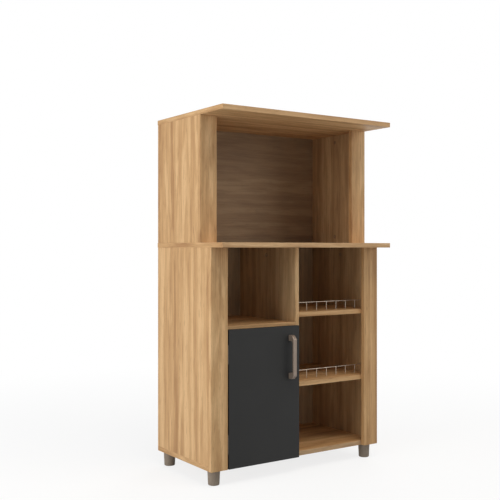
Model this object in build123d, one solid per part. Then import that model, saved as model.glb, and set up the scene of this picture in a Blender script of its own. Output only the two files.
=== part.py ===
from build123d import *
import math
import os

os.makedirs("parts", exist_ok=True)

# Two-tier kitchen cabinet for microwave ovens, in millimetres.
# X runs across the front, Y runs from front to back, Z is up.
# The origin is on the floor, below the middle of the top board.

# Main sizes
cabinet_width = 710
counter_depth = 428
lower_depth = 360        # front of the lower stiles to the back of the cabinet
upper_depth = 293
lower_clear_height = 698   # bottom board to counter
upper_clear_height = 415   # counter to top board
foot_height = 50
board = 16
stile_width = 63
edge_break = 0.5         # eased edge of every laminated board
cut_overrun = 1
fastener_sides = 6       # sides of the small bars and holes that repeat out of sight

# Back panels
back_thickness = 3
back_inset = 2

# Shelves
left_shelf_rise = 428     # bottom board to the underside of the left shelf
right_opening_count = 3

# Door
door_stile_gap = 4
door_divider_overlap = 5
door_shelf_overlap = 5

# Bow handle
handle_length = 148
handle_foot = 20
handle_width = 14
handle_bar = 8
handle_reach = 28
handle_shoulder = 8
handle_inner_radius = 8
handle_edge_break = 1.5
handle_from_top = 30
handle_from_side = 38
handle_screw_radius = 2
handle_screw_grip = 10
handle_hole_clearance = 0.25
screw_bore_clearance = 0.05
pan_head_radius = 4
pan_head_height = 2.5

# Hinges, with their leaves wrapped round to the rear faces
hinge_height = 60
hinge_from_end = 80
hinge_sheet = 1
hinge_flange = 25
hinge_pin_setback = 1.8
hinge_barrel_radius = 1.6
hinge_pin_radius = 0.9
hinge_running_clearance = 0.05
hinge_knuckle_gap = 0.2
hinge_barrel_gap = 0.4
hinge_knuckle_count = 3
hinge_tip_height = 0.8
hinge_hole_spacing = 40
hinge_hole_from_bend = 15
hinge_screw_radius = 1.6
hinge_screw_length = 12
hinge_head_radius = 3
hinge_head_height = 1.8

# Magnetic catch
catch_length = 46
catch_height = 13
catch_body_depth = 15
catch_from_divider = 28
catch_gap = 0.3
catch_wall = 2
catch_magnet_length = 26
catch_pole = 1.5
catch_screw_radius = 1.5
catch_screw_length = 13
catch_screw_from_end = 5
catch_head_radius = 2.8
catch_head_height = 1.6
strike_length = 34
strike_height = 12
strike_thickness = 1.2
strike_screw_length = 11
strike_screw_radius = 1.4
strike_screw_head_radius = 2.6
strike_screw_head_height = 0.7
strike_screw_spacing = 24

# Wire guards in front of the right shelves
guard_setback = 70       # front of the stiles to the guard
guard_height = 30
guard_wire_radius = 1.1
guard_upright_count = 7
guard_end_gap = 30.5      # wall of the bay to the first upright
guard_socket_depth = 6
guard_socket_clearance = 0.05

# Tapered feet
foot_from_side = 32
foot_from_front = 36
foot_from_back = 30
foot_top_radius = 21
foot_bottom_radius = 18.5
foot_edge_break = 1.5
foot_wall = 3.5
foot_cap = 8
foot_boss_radius = 7
foot_rib = 2
foot_rib_drop = 6
foot_screw_radius = 2.25
foot_screw_bite = 13
foot_head_radius = 4.5
foot_head_height = 2.5
foot_hole_clearance = 0.25

# Knock-down joints
cam_radius = 7.5
cam_depth = 12.5
cam_from_end = 26
cam_clearance = 0.1
cam_sides = 12
cam_slot_width = 1.6
cam_slot_length = 9
cam_slot_depth = 1.5
bolt_radius = 3
bolt_bite = 10
bolt_head_radius = 3.6
bolt_head_length = 3
bolt_neck_radius = 2
bolt_neck_length = 4
bolt_bore_clearance = 0.6
dowel_radius = 4
dowel_length = 30
dowel_board_depth = 10
dowel_clearance = 0.05
dowel_end_gap = 1
dowel_from_edge = 45
joint_screw_radius = 3.2
joint_screw_length = 50
joint_screw_head_radius = 5
joint_screw_head_height = 4
joint_screw_from_edge = 90
stile_dowel_from_end = 70
stile_dowel_length = 25
stile_dowel_depth = 9
lower_stile_dowels = 4
upper_stile_dowels = 3

# Corner blocks behind the stiles
block_size = 20
block_length = 32
block_wall = 4
block_from_end = 45
block_screw_radius = 1.6
block_screw_length = 14
block_screw_offset = 8
block_head_radius = 3
block_head_height = 1.6

# Back panel pins
pin_radius = 0.8
pin_length = 18
pin_head_radius = 1.8
pin_head_height = 0.6
pin_from_corner = 40
pin_spacing_aim = 180

# Planes that the boards share
left = -cabinet_width / 2
right = cabinet_width / 2
front = -counter_depth / 2
back = counter_depth / 2
lower_face = back - lower_depth
upper_face = back - upper_depth
lower_edge = lower_face + board
upper_edge = upper_face + board
carcass_back = back - back_thickness
inner_left = left + board
inner_right = right - board
stile_inner_left = left + stile_width
stile_inner_right = right - stile_width
body_bottom = foot_height
floor_of_body = body_bottom + board
counter_under = floor_of_body + lower_clear_height
counter_top = counter_under + board
top_under = counter_top + upper_clear_height
top_face = top_under + board
divider_left = -board / 2
divider_right = board / 2
left_shelf_under = floor_of_body + left_shelf_rise
left_shelf_top = left_shelf_under + board
shelf_count = right_opening_count - 1
right_opening = (lower_clear_height - shelf_count * board) / right_opening_count
right_shelf_unders = [
    floor_of_body + right_opening * (index + 1) + board * index for index in range(shelf_count)
]
door_left = stile_inner_left + door_stile_gap
door_right = divider_left + door_divider_overlap
door_bottom = body_bottom
door_top = left_shelf_under + door_shelf_overlap
hinge_x = stile_inner_left + door_stile_gap / 2
hinge_y = lower_face + hinge_pin_setback
hinge_centres = {
    "lower": door_bottom + hinge_from_end,
    "upper": door_top - hinge_from_end,
}
lower_middle = (lower_edge + carcass_back) / 2
upper_middle = (upper_edge + carcass_back) / 2
foot_places = {
    "front_left": (left + foot_from_side, lower_face + foot_from_front),
    "front_right": (right - foot_from_side, lower_face + foot_from_front),
    "rear_left": (left + foot_from_side, back - foot_from_back),
    "rear_right": (right - foot_from_side, back - foot_from_back),
}

# What is cut from each board, and the loose pieces that share a node
cuts = {}
groups = {}


def block(x0, x1, y0, y1, z0, z1):
    """Box between two corners."""
    size = Box(x1 - x0, y1 - y0, z1 - z0, align=(Align.MIN, Align.MIN, Align.MIN))
    return Location((x0, y0, z0)) * size


def rod(start, direction, radius, length):
    """Round bar from a point, along a direction."""
    bar = Cylinder(radius, length, align=(Align.CENTER, Align.CENTER, Align.MIN))
    return Plane(origin=start, z_dir=direction) * bar


def slim_rod(start, direction, radius, length, sides=fastener_sides):
    """Bar with few sides, for the small fasteners and holes that repeat out of sight."""
    section = Plane(origin=start, z_dir=direction) * RegularPolygon(radius, sides)
    return extrude(section, length)


def step(point, direction, distance):
    """Point reached by moving along a direction."""
    return tuple(p + d * distance for p, d in zip(point, direction))


def reverse(direction):
    return tuple(-d for d in direction)


def cut_from(node, tool):
    cuts.setdefault(node, []).append(tool)


def add_to(node, piece):
    groups.setdefault(node, []).append(piece)


def eased_board(x0, x1, y0, y1, z0, z1):
    """Laminated board with its edges just broken."""
    panel = block(x0, x1, y0, y1, z0, z1)
    return chamfer(panel.edges(), edge_break)


def cam_joint(panel, mate, seat, into_panel, face_normal):
    """Cam lock in a panel's face, and its bolt in the board that the panel meets.

    seat is the middle of the panel's end, into_panel points from the mate into the panel,
    and face_normal points out of the panel's face that holds the cam.
    """
    centre = step(seat, into_panel, cam_from_end)
    mouth = step(centre, face_normal, board / 2)
    inwards = reverse(face_normal)
    cut_from(panel, slim_rod(mouth, inwards, cam_radius, cam_depth, cam_sides))
    body = slim_rod(mouth, inwards, cam_radius - cam_clearance, cam_depth, cam_sides)
    slot = Box(
        cam_slot_width, cam_slot_length, cam_slot_depth, align=(Align.CENTER, Align.CENTER, Align.MIN)
    )
    body -= Plane(origin=mouth, z_dir=inwards) * slot
    reach = cam_from_end - bolt_neck_length - bolt_head_length
    start = step(seat, reverse(into_panel), bolt_bite)
    shank = slim_rod(start, into_panel, bolt_radius, bolt_bite + reach)
    neck = slim_rod(step(seat, into_panel, reach), into_panel, bolt_neck_radius, bolt_neck_length)
    head_start = step(seat, into_panel, reach + bolt_neck_length)
    head = slim_rod(head_start, into_panel, bolt_head_radius - bolt_bore_clearance, bolt_head_length)
    bore_radius = bolt_head_radius + bolt_bore_clearance
    cut_from(panel, slim_rod(seat, into_panel, bore_radius, cam_from_end - cam_radius / 2))
    cut_from(mate, slim_rod(start, into_panel, bolt_radius, bolt_bite))
    body -= slim_rod(seat, into_panel, bolt_head_radius, cam_from_end + cam_clearance)
    add_to("cam_locks", body)
    add_to("cam_bolts", shank + neck + head)


def dowel_joint(first, second, seat, into_first, length, depth_in_second):
    """Dowel across a joint face, depth_in_second of it in the second board."""
    start = step(seat, reverse(into_first), depth_in_second)
    add_to("dowels", slim_rod(start, into_first, dowel_radius, length))
    hole_radius = dowel_radius + dowel_clearance
    cut_from(second, slim_rod(start, into_first, hole_radius, depth_in_second))
    depth_in_first = length - depth_in_second + dowel_end_gap
    cut_from(first, slim_rod(seat, into_first, hole_radius, depth_in_first))


def joint_screw(board_node, panel_node, seat):
    """Long screw up through the bottom board into the end of an upright panel."""
    underside = (seat[0], seat[1], body_bottom)
    head = slim_rod(underside, (0, 0, 1), joint_screw_head_radius, joint_screw_head_height)
    shank = slim_rod(underside, (0, 0, 1), joint_screw_radius, joint_screw_length)
    screw = head + shank
    add_to("joint_screws", screw)
    cut_from(board_node, screw)
    cut_from(panel_node, shank)


def panel_end_joint(panel, mate, x, y0, y1, z, upwards, face_normal):
    """Cam in the middle and a dowel near each edge, where an upright panel meets a board."""
    into_panel = (0, 0, 1) if upwards else (0, 0, -1)
    cam_joint(panel, mate, (x, (y0 + y1) / 2, z), into_panel, face_normal)
    for y in (y0 + dowel_from_edge, y1 - dowel_from_edge):
        dowel_joint(panel, mate, (x, y, z), into_panel, dowel_length, dowel_board_depth)


def shelf_joints(shelf, x0, x1, z_under, left_panel, right_panel):
    """Cams in the underside of a shelf and dowels, at both of its ends."""
    z = z_under + board / 2
    ends = ((x0, (1, 0, 0), left_panel), (x1, (-1, 0, 0), right_panel))
    for x, into_shelf, panel in ends:
        cam_joint(shelf, panel, (x, lower_middle, z), into_shelf, (0, 0, -1))
        for y in (lower_edge + dowel_from_edge, carcass_back - dowel_from_edge):
            dowel_joint(shelf, panel, (x, y, z), into_shelf, dowel_length, dowel_board_depth)


def stile_joints(stile, side, x, inward, edge, z0, z1, dowel_count, block_heights):
    """Dowels from a stile into the side's front edge, and corner blocks behind it."""
    first = z0 + stile_dowel_from_end
    gap = (z1 - z0 - 2 * stile_dowel_from_end) / (dowel_count - 1)
    for index in range(dowel_count):
        seat = (x, edge, first + gap * index)
        dowel_joint(side, stile, seat, (0, 1, 0), stile_dowel_length, stile_dowel_depth)
    wall = x + inward * board / 2
    for z in block_heights:
        corner_block(wall, inward, edge, z)


def corner_block(wall, inward, edge, z):
    """Moulded corner block with one screw into the side and one into the stile."""
    x0, x1 = sorted((wall, wall + inward * block_size))
    z0 = z - block_length / 2
    z1 = z + block_length / 2
    body = block(x0, x1, edge, edge + block_size, z0, z1)
    pocket_x = sorted((wall + inward * block_wall, wall + inward * (block_size + cut_overrun)))
    pocket_y = (edge + block_wall, edge + block_size + cut_overrun)
    web = block_wall / 2
    for low, high in ((z0 + block_wall, z - web), (z + web, z1 - block_wall)):
        body -= block(*pocket_x, *pocket_y, low, high)
    middle = block_wall + (block_size - block_wall) / 2
    side_screw = (wall + inward * block_wall, edge + middle, z + block_screw_offset)
    stile_screw = (wall + inward * middle, edge + block_wall, z - block_screw_offset)
    places = ((side_screw, (-inward, 0, 0)), (stile_screw, (0, -1, 0)))
    for place, direction in places:
        body -= slim_rod(place, direction, block_screw_radius, block_wall)
        screw = headed_screw(
            place, direction, block_screw_radius, block_screw_length,
            block_head_radius, block_head_height,
        )
        add_to("corner_block_screws", screw)
    add_to("corner_blocks", body)


def headed_screw(place, direction, radius, length, head_radius, head_height):
    """Screw whose head rests on a face at place and whose shank runs along direction."""
    shank = slim_rod(place, direction, radius, length)
    return shank + slim_rod(place, reverse(direction), head_radius, head_height)


def back_pins(x0, x1, z0, z1, uprights, rows):
    """Pins that hold a back panel to the rear edges of the uprights and of the boards."""
    run = z1 - z0 - 2 * pin_from_corner
    count = math.ceil(run / pin_spacing_aim) + 1
    for x in uprights:
        for index in range(count):
            back_pin(x, z0 + pin_from_corner + run * index / (count - 1))
    across = x1 - x0 - 2 * pin_from_corner
    columns = math.ceil(across / pin_spacing_aim)
    for z in rows:
        for index in range(columns):
            back_pin(x0 + pin_from_corner + across * (index + 1 / 2) / columns, z)


def back_pin(x, z):
    """Panel pin driven flush into the back panel."""
    shank = slim_rod((x, back, z), (0, -1, 0), pin_radius, pin_length)
    head = slim_rod((x, back, z), (0, -1, 0), pin_head_radius, pin_head_height)
    add_to("back_panel_pins", shank + head)


def make_boards():
    """Every board of the carcass before its joints are drilled."""
    lower = (lower_edge, carcass_back)
    upper = (upper_edge, carcass_back)
    boards = {
        "bottom_board": (left, right, *lower, body_bottom, floor_of_body),
        "lower_left_side": (left, inner_left, *lower, floor_of_body, counter_under),
        "lower_right_side": (inner_right, right, *lower, floor_of_body, counter_under),
        "divider": (divider_left, divider_right, *lower, floor_of_body, counter_under),
        "left_shelf": (inner_left, divider_left, *lower, left_shelf_under, left_shelf_top),
        "counter_board": (left, right, front, back, counter_under, counter_top),
        "upper_left_side": (left, inner_left, *upper, counter_top, top_under),
        "upper_right_side": (inner_right, right, *upper, counter_top, top_under),
        "top_board": (left, right, front, back, top_under, top_face),
    }
    for name, under in zip(("right_shelf_lower", "right_shelf_upper"), right_shelf_unders):
        boards[name] = (divider_right, inner_right, *lower, under, under + board)
    sides = {"left": (left, stile_inner_left), "right": (stile_inner_right, right)}
    for side, (x0, x1) in sides.items():
        boards[f"lower_{side}_stile"] = (x0, x1, lower_face, lower_edge, body_bottom, counter_under)
        boards[f"upper_{side}_stile"] = (x0, x1, upper_face, upper_edge, counter_top, top_under)
    return {name: eased_board(*corners) for name, corners in boards.items()}


def make_back_panels():
    lower = block(
        left + back_inset, right - back_inset, carcass_back, back,
        body_bottom + back_inset, counter_under,
    )
    upper = block(
        left + back_inset, right - back_inset, carcass_back, back,
        counter_top, top_under,
    )
    return {"lower_back_panel": lower, "upper_back_panel": upper}


def join_carcass():
    """All the cams, dowels and screws between the boards."""
    lower_columns = {
        "lower_left_side": (left + board / 2, (1, 0, 0)),
        "divider": (0, (-1, 0, 0)),
        "lower_right_side": (right - board / 2, (-1, 0, 0)),
    }
    for panel, (x, normal) in lower_columns.items():
        panel_end_joint(
            panel, "counter_board", x, lower_edge, carcass_back, counter_under, False, normal
        )
        for y in (lower_edge + joint_screw_from_edge, carcass_back - joint_screw_from_edge):
            joint_screw("bottom_board", panel, (x, y, floor_of_body))
    upper_columns = {
        "upper_left_side": (left + board / 2, (1, 0, 0)),
        "upper_right_side": (right - board / 2, (-1, 0, 0)),
    }
    for panel, (x, normal) in upper_columns.items():
        panel_end_joint(
            panel, "counter_board", x, upper_edge, carcass_back, counter_top, True, normal
        )
        panel_end_joint(panel, "top_board", x, upper_edge, carcass_back, top_under, False, normal)
    shelf_joints(
        "left_shelf", inner_left, divider_left, left_shelf_under, "lower_left_side", "divider"
    )
    for name, under in zip(("right_shelf_lower", "right_shelf_upper"), right_shelf_unders):
        shelf_joints(name, divider_right, inner_right, under, "divider", "lower_right_side")


def join_stiles():
    """Dowels and corner blocks of the four stiles."""
    lower_blocks = (floor_of_body + block_from_end, counter_under - block_from_end)
    upper_blocks = (counter_top + block_from_end, top_under - block_from_end)
    for side, x, inward in (("left", left + board / 2, 1), ("right", right - board / 2, -1)):
        stile_joints(
            f"lower_{side}_stile", f"lower_{side}_side", x, inward, lower_edge,
            floor_of_body, counter_under, lower_stile_dowels, lower_blocks,
        )
        stile_joints(
            f"upper_{side}_stile", f"upper_{side}_side", x, inward, upper_edge,
            counter_top, top_under, upper_stile_dowels, upper_blocks,
        )


def pin_back_panels():
    lower_uprights = (left + board / 2, 0, right - board / 2)
    upper_uprights = (left + board / 2, right - board / 2)
    bottom_row = (body_bottom + board / 2,)
    back_pins(left, right, floor_of_body, counter_under, lower_uprights, bottom_row)
    back_pins(left, right, counter_top, top_under, upper_uprights, ())


def make_door_panel():
    panel = eased_board(door_left, door_right, lower_face, lower_edge, door_bottom, door_top)
    for z in handle_screw_heights():
        start = (handle_centre(), lower_face - cut_overrun, z)
        radius = handle_screw_radius + handle_hole_clearance
        panel -= slim_rod(start, (0, 1, 0), radius, board + 2 * cut_overrun)
    return panel


def handle_centre():
    return door_right - handle_from_side


def handle_screw_heights():
    top = door_top - handle_from_top
    return (top - handle_length + handle_foot / 2, top - handle_foot / 2)


def make_handle():
    """Bow handle: a flat bar on two feet, with sloping shoulders."""
    top = door_top - handle_from_top
    bottom = top - handle_length
    outer = lower_face - handle_reach
    shoulder = outer + handle_shoulder
    inner = outer + handle_bar
    outline = [
        (lower_face, bottom), (shoulder, bottom), (outer, bottom + handle_shoulder),
        (outer, top - handle_shoulder), (shoulder, top), (lower_face, top),
        (lower_face, top - handle_foot), (inner, top - handle_foot),
        (inner, bottom + handle_foot), (lower_face, bottom + handle_foot),
    ]
    sketch = Plane.YZ * Polyline(*outline, close=True)
    bar = extrude(make_face(sketch), handle_width / 2, both=True)
    across = bar.edges().filter_by(Axis.X)
    inner_corners = [edge for edge in across if abs(edge.center().Y - inner) < edge_break]
    bar = fillet(inner_corners, handle_inner_radius)
    front_edges = [
        edge for edge in bar.edges()
        if abs(edge.center().X) > handle_width / 2 - edge_break
        and edge.center().Y < lower_face - edge_break
    ]
    bar = chamfer(front_edges, handle_edge_break)
    bar = Location((handle_centre(), 0, 0)) * bar
    for z in handle_screw_heights():
        start = (handle_centre(), lower_face, z)
        radius = handle_screw_radius + screw_bore_clearance
        bar -= slim_rod(start, (0, -1, 0), radius, handle_screw_grip + cut_overrun)
    return bar


def make_handle_screws():
    length = board + handle_screw_grip
    for z in handle_screw_heights():
        place = (handle_centre(), lower_edge, z)
        screw = headed_screw(
            place, (0, -1, 0), handle_screw_radius, length, pan_head_radius, pan_head_height
        )
        add_to("handle_screws", screw)


def knuckle_spans(bottom, own_first):
    """Heights of a leaf's own knuckles: the even ones, or the odd ones."""
    pitch = hinge_height / hinge_knuckle_count
    first = 0 if own_first else 1
    spans = []
    for index in range(first, hinge_knuckle_count, 2):
        low = bottom + pitch * index + (hinge_knuckle_gap / 2 if index > 0 else 0)
        last = index == hinge_knuckle_count - 1
        high = bottom + pitch * (index + 1) - (0 if last else hinge_knuckle_gap / 2)
        spans.append((low, high))
    return spans


def hinge_leaf(inward, bottom, own_first, bore_radius):
    """Wrapped leaf: knuckles in the door gap, a web along the edge, a flange behind the board.

    inward is -1 for the leaf on the stile and 1 for the leaf on the door.
    """
    top = bottom + hinge_height
    face = hinge_x + inward * door_stile_gap / 2
    web_x = sorted((face, face - inward * hinge_sheet))
    web_start = hinge_y + hinge_barrel_radius + hinge_barrel_gap
    rear = lower_edge + hinge_sheet
    leaf = block(*web_x, web_start, rear, bottom, top)
    flange_x = sorted((face - inward * hinge_sheet, face + inward * hinge_flange))
    leaf += block(*flange_x, lower_edge, rear, bottom, top)
    for low, high in knuckle_spans(bottom, own_first):
        leaf += rod((hinge_x, hinge_y, low), (0, 0, 1), hinge_barrel_radius, high - low)
        neck_x = sorted((face - inward * hinge_sheet, hinge_x + inward * hinge_barrel_radius))
        leaf += block(*neck_x, hinge_y, web_start, low, high)
    bore_start = (hinge_x, hinge_y, bottom - cut_overrun)
    leaf -= rod(bore_start, (0, 0, 1), bore_radius, hinge_height + 2 * cut_overrun)
    for z in hinge_hole_heights(bottom):
        hole = (face + inward * hinge_hole_from_bend, lower_edge - cut_overrun, z)
        leaf -= slim_rod(hole, (0, 1, 0), hinge_screw_radius, hinge_sheet + 2 * cut_overrun)
    return leaf


def hinge_hole_heights(bottom):
    middle = bottom + hinge_height / 2
    return (middle - hinge_hole_spacing / 2, middle + hinge_hole_spacing / 2)


def make_hinges():
    """Two hinges: leaves, pins and screws."""
    pieces = {}
    for name, centre in hinge_centres.items():
        bottom = centre - hinge_height / 2
        running_bore = hinge_pin_radius + hinge_running_clearance
        pieces[f"hinge_{name}_stile_leaf"] = hinge_leaf(-1, bottom, True, hinge_pin_radius)
        pieces[f"hinge_{name}_door_leaf"] = hinge_leaf(1, bottom, False, running_bore)
        pin = rod((hinge_x, hinge_y, bottom), (0, 0, 1), hinge_pin_radius, hinge_height)
        for z, direction in ((bottom, -1), (bottom + hinge_height, 1)):
            pin += rod((hinge_x, hinge_y, z), (0, 0, direction), hinge_barrel_radius, hinge_tip_height)
        pieces[f"hinge_{name}_pin"] = pin
        for z in hinge_hole_heights(bottom):
            for inward, node in ((-1, "hinge_stile_screws"), (1, "hinge_door_screws")):
                face = hinge_x + inward * door_stile_gap / 2
                place = (face + inward * hinge_hole_from_bend, lower_edge + hinge_sheet, z)
                screw = headed_screw(
                    place, (0, -1, 0), hinge_screw_radius, hinge_screw_length,
                    hinge_head_radius, hinge_head_height,
                )
                add_to(node, screw)
    return pieces


def make_catch():
    """Magnetic catch under the left shelf, and its strike plate on the door."""
    x1 = divider_left - catch_from_divider
    x0 = x1 - catch_length
    middle = (x0 + x1) / 2
    y0 = lower_edge + strike_thickness + catch_gap
    y1 = y0 + catch_body_depth
    z1 = left_shelf_under
    z0 = z1 - catch_height
    half = catch_magnet_length / 2
    body = block(x0, x1, y0, y1, z0, z1)
    pocket = (middle - half, middle + half, y0 - cut_overrun, y1 - catch_wall)
    body -= block(*pocket, z0 + catch_wall, z1 - catch_wall)
    ear_depth = catch_body_depth / 2
    housing = half + catch_wall
    ear_y = (y0 - cut_overrun, y1 + cut_overrun)
    for low, high in ((x0 - cut_overrun, middle - housing), (middle + housing, x1 + cut_overrun)):
        body -= block(low, high, *ear_y, z0 - cut_overrun, z1 - catch_wall)
    magnet = block(
        middle - half, middle + half, y0 + catch_pole, y1 - catch_wall,
        z0 + catch_wall + catch_pole, z1 - catch_wall - catch_pole,
    )
    for low in (z0 + catch_wall, z1 - catch_wall - catch_pole):
        magnet += block(middle - half, middle + half, y0, y1 - catch_wall, low, low + catch_pole)
    for x in (x0 + catch_screw_from_end, x1 - catch_screw_from_end):
        place = (x, y0 + ear_depth, z1 - catch_wall)
        body -= slim_rod(place, (0, 0, 1), catch_screw_radius, catch_wall)
        screw = headed_screw(
            place, (0, 0, 1), catch_screw_radius, catch_screw_length,
            catch_head_radius, catch_head_height,
        )
        add_to("catch_screws", screw)
    strike_middle = (z0 + z1) / 2
    strike = block(
        middle - strike_length / 2, middle + strike_length / 2,
        lower_edge, lower_edge + strike_thickness,
        strike_middle - strike_height / 2, strike_middle + strike_height / 2,
    )
    for x in (middle - strike_screw_spacing / 2, middle + strike_screw_spacing / 2):
        face = (x, lower_edge + strike_thickness, strike_middle)
        screw = slim_rod(face, (0, -1, 0), strike_screw_head_radius, strike_screw_head_height)
        screw += slim_rod(face, (0, -1, 0), strike_screw_radius, strike_screw_length)
        strike -= screw
        add_to("strike_screws", screw)
    return {"catch_body": body, "catch_magnet": magnet, "catch_strike_plate": strike}


def make_guard(shelf_top, shelf, x_wall_left, x_wall_right):
    """Wire guard: a top rail let into both walls, on uprights that stand in the shelf."""
    y = lower_face + guard_setback
    rail_z = shelf_top + guard_height - guard_wire_radius
    rail_start = (x_wall_left - guard_socket_depth, y, rail_z)
    rail_length = x_wall_right - x_wall_left + 2 * guard_socket_depth
    guard = rod(rail_start, (1, 0, 0), guard_wire_radius, rail_length)
    socket_radius = guard_wire_radius + guard_socket_clearance
    cut_from("divider", rod(rail_start, (1, 0, 0), socket_radius, guard_socket_depth))
    right_socket = rod((x_wall_right, y, rail_z), (1, 0, 0), socket_radius, guard_socket_depth)
    cut_from("lower_right_side", right_socket)
    first = x_wall_left + guard_end_gap
    spacing = (x_wall_right - guard_end_gap - first) / (guard_upright_count - 1)
    for index in range(guard_upright_count):
        foot = (first + spacing * index, y, shelf_top - guard_socket_depth)
        guard += slim_rod(foot, (0, 0, 1), guard_wire_radius, rail_z - foot[2])
        cut_from(shelf, slim_rod(foot, (0, 0, 1), socket_radius, guard_socket_depth))
    return guard


def make_foot(x, y):
    """Tapered moulded foot, open below, with a screw boss on crossed ribs."""
    profile = Polyline(
        (0, 0), (foot_bottom_radius, 0), (foot_top_radius, foot_height), (0, foot_height), close=True
    )
    foot = revolve(make_face(Plane.XZ * profile), Axis.Z)
    bottom_edge = foot.edges().filter_by(GeomType.CIRCLE).sort_by(Axis.Z)[0]
    foot = chamfer(bottom_edge, foot_edge_break)
    ceiling = foot_height - foot_cap
    span = foot_bottom_radius - foot_wall
    hollow = rod((0, 0, 0), (0, 0, 1), span, ceiling)
    half_rib = foot_rib / 2
    hollow -= block(-span, span, -half_rib, half_rib, foot_rib_drop, ceiling)
    hollow -= block(-half_rib, half_rib, -span, span, foot_rib_drop, ceiling)
    hollow -= slim_rod((0, 0, foot_rib_drop), (0, 0, 1), foot_boss_radius, ceiling - foot_rib_drop)
    foot -= hollow
    seat = ceiling - foot_head_height
    foot -= slim_rod((0, 0, 0), (0, 0, 1), foot_head_radius + foot_hole_clearance, seat)
    foot -= slim_rod((0, 0, 0), (0, 0, 1), foot_screw_radius + foot_hole_clearance, foot_height)
    screw = headed_screw(
        (0, 0, seat), (0, 0, 1), foot_screw_radius, foot_height - seat + foot_screw_bite,
        foot_head_radius, foot_head_height,
    )
    add_to("foot_screws", Location((x, y, 0)) * screw)
    return Location((x, y, 0)) * foot


def build_parts():
    """All nodes by name."""
    parts = make_boards()
    parts.update(make_back_panels())
    join_carcass()
    join_stiles()
    pin_back_panels()
    parts["door_panel"] = make_door_panel()
    parts["door_handle"] = make_handle()
    make_handle_screws()
    parts.update(make_hinges())
    parts.update(make_catch())
    for name, under in zip(("lower", "upper"), right_shelf_unders):
        parts[f"wire_guard_{name}"] = make_guard(
            under + board, f"right_shelf_{name}", divider_right, inner_right
        )
    for name, (x, y) in foot_places.items():
        parts[f"foot_{name}"] = make_foot(x, y)
    for node, tools in cuts.items():
        parts[node] = parts[node] - tools
    for node, pieces in groups.items():
        parts[node] = Compound(children=pieces)
    return parts


for node, shape in build_parts().items():
    export_step(shape, f"parts/{node}.step")
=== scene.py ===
import math

import bmesh
import bpy
from mathutils import Matrix, Vector


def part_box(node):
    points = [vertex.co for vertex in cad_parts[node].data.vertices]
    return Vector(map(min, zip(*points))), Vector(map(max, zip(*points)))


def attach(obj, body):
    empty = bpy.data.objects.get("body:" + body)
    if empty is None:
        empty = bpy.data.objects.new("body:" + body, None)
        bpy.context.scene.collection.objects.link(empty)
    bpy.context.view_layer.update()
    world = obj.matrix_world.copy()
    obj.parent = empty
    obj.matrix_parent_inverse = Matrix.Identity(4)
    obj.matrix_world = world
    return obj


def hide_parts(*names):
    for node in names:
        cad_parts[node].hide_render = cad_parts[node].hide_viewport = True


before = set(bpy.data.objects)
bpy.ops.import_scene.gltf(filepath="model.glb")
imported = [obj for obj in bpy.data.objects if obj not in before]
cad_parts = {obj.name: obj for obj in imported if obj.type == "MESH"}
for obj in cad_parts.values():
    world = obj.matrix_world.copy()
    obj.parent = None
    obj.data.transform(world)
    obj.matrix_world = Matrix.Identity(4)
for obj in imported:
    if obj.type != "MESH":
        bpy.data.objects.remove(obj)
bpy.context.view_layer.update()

mm = 0.001
xAxis = Vector((1, 0, 0))
yAxis = Vector((0, 1, 0))
zAxis = Vector((0, 0, 1))
rearward = (0, 1, 0)
downward = (0, 0, -1)
white = (1, 1, 1, 1)


def srgb(red, green, blue):
    # 0 to 255 as seen on screen, turned into the linear colour that a shader takes
    def linear(value):
        value /= 255
        return value / 12.92 if value <= 0.04045 else ((value + 0.055) / 1.055) ** 2.4
    return (linear(red), linear(green), linear(blue), 1)


def corners(node):
    low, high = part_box(node)
    return Vector(low), Vector(high)


# Shader helpers

class Wire:
    def __init__(self, tree, socket):
        self.tree = tree
        self.socket = socket

    def compute(self, operation, first, second=None):
        node = self.tree.nodes.new("ShaderNodeMath")
        node.operation = operation
        for slot, value in zip(node.inputs, (first, second)):
            if isinstance(value, Wire):
                self.tree.links.new(value.socket, slot)
            elif value is not None:
                slot.default_value = value
        return Wire(self.tree, node.outputs[0])

    def __add__(self, other):
        return self.compute("ADD", self, other)

    def __radd__(self, other):
        return self.compute("ADD", other, self)

    def __sub__(self, other):
        return self.compute("SUBTRACT", self, other)

    def __rsub__(self, other):
        return self.compute("SUBTRACT", other, self)

    def __mul__(self, other):
        return self.compute("MULTIPLY", self, other)

    def __rmul__(self, other):
        return self.compute("MULTIPLY", other, self)

    def __pow__(self, other):
        return self.compute("POWER", self, other)

    def __abs__(self):
        return self.compute("ABSOLUTE", self)

    def sine(self):
        return self.compute("SINE", self)

    def least(self, other):
        return self.compute("MINIMUM", self, other)

    def most(self, other):
        return self.compute("MAXIMUM", self, other)

    def step(self, low, high):
        # 0 below low, 1 above high, smooth between them
        node = self.tree.nodes.new("ShaderNodeMapRange")
        node.interpolation_type = "SMOOTHSTEP"
        self.tree.links.new(self.socket, node.inputs["Value"])
        node.inputs["From Min"].default_value = low
        node.inputs["From Max"].default_value = high
        return Wire(self.tree, node.outputs["Result"])

    def rise(self, low, high, share):
        return self.step(low, high) * share


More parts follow.
